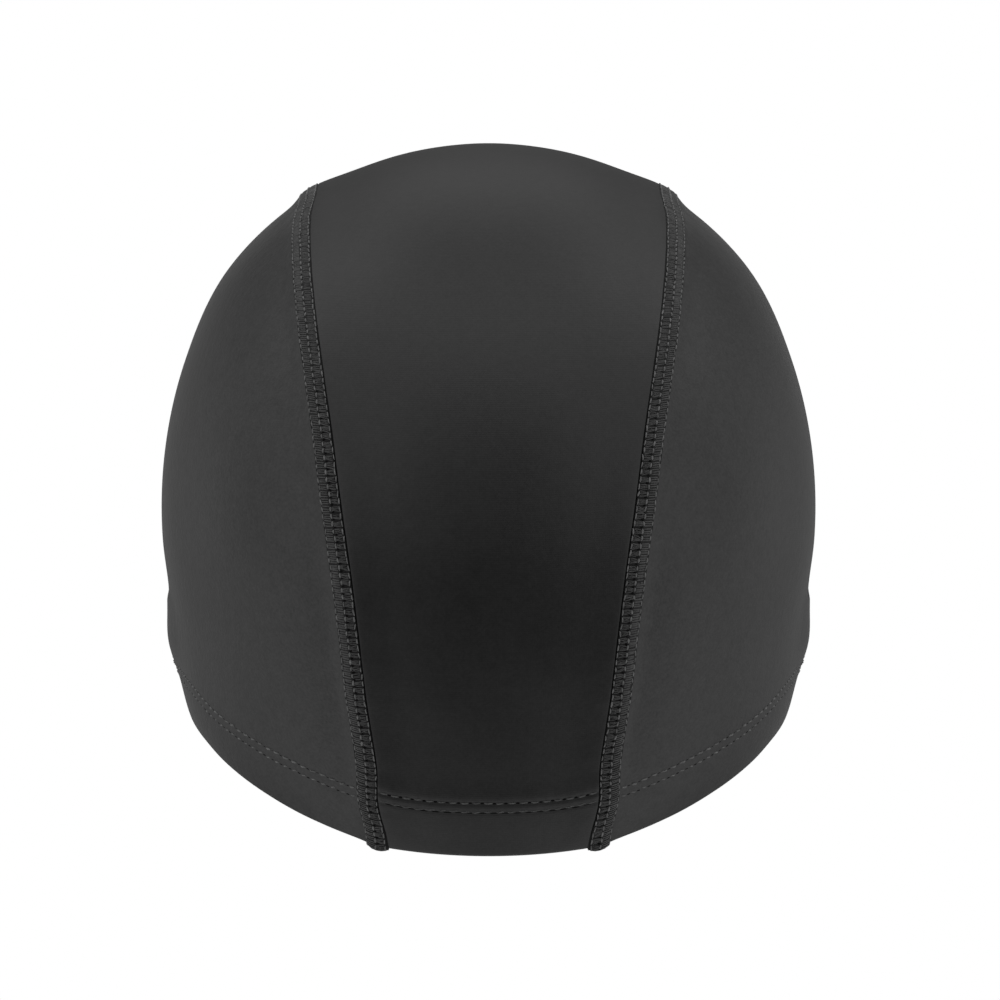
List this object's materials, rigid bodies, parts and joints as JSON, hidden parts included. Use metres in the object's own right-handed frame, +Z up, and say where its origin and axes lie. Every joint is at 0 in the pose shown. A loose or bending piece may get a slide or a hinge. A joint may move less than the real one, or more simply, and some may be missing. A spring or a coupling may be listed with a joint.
{
  "type": "three-panel cloth swim cap",
  "caption": "Stretch cloth swim cap in its worn shape: a centre panel from forehead to nape between side panels, joined by flat seams and hemmed all round.",
  "frame": {"origin": "the inside of the crown, where the cap sits on top of the head", "axes": "+Z up, +Y towards the nape, +X towards the wearer's left"},
  "size_m": [0.1578, 0.1964, 0.1706],
  "materials": {
    "cloth": "smooth fine knit with a satin sheen",
    "seam_thread": "matte textured thread over cloth"
  },
  "bodies": {
    "root": {"centre_panel": "cloth", "side_panel_left": "cloth", "side_panel_right": "cloth", "seam_left": "seam_thread", "seam_right": "seam_thread"}
  },
  "joints": []
}
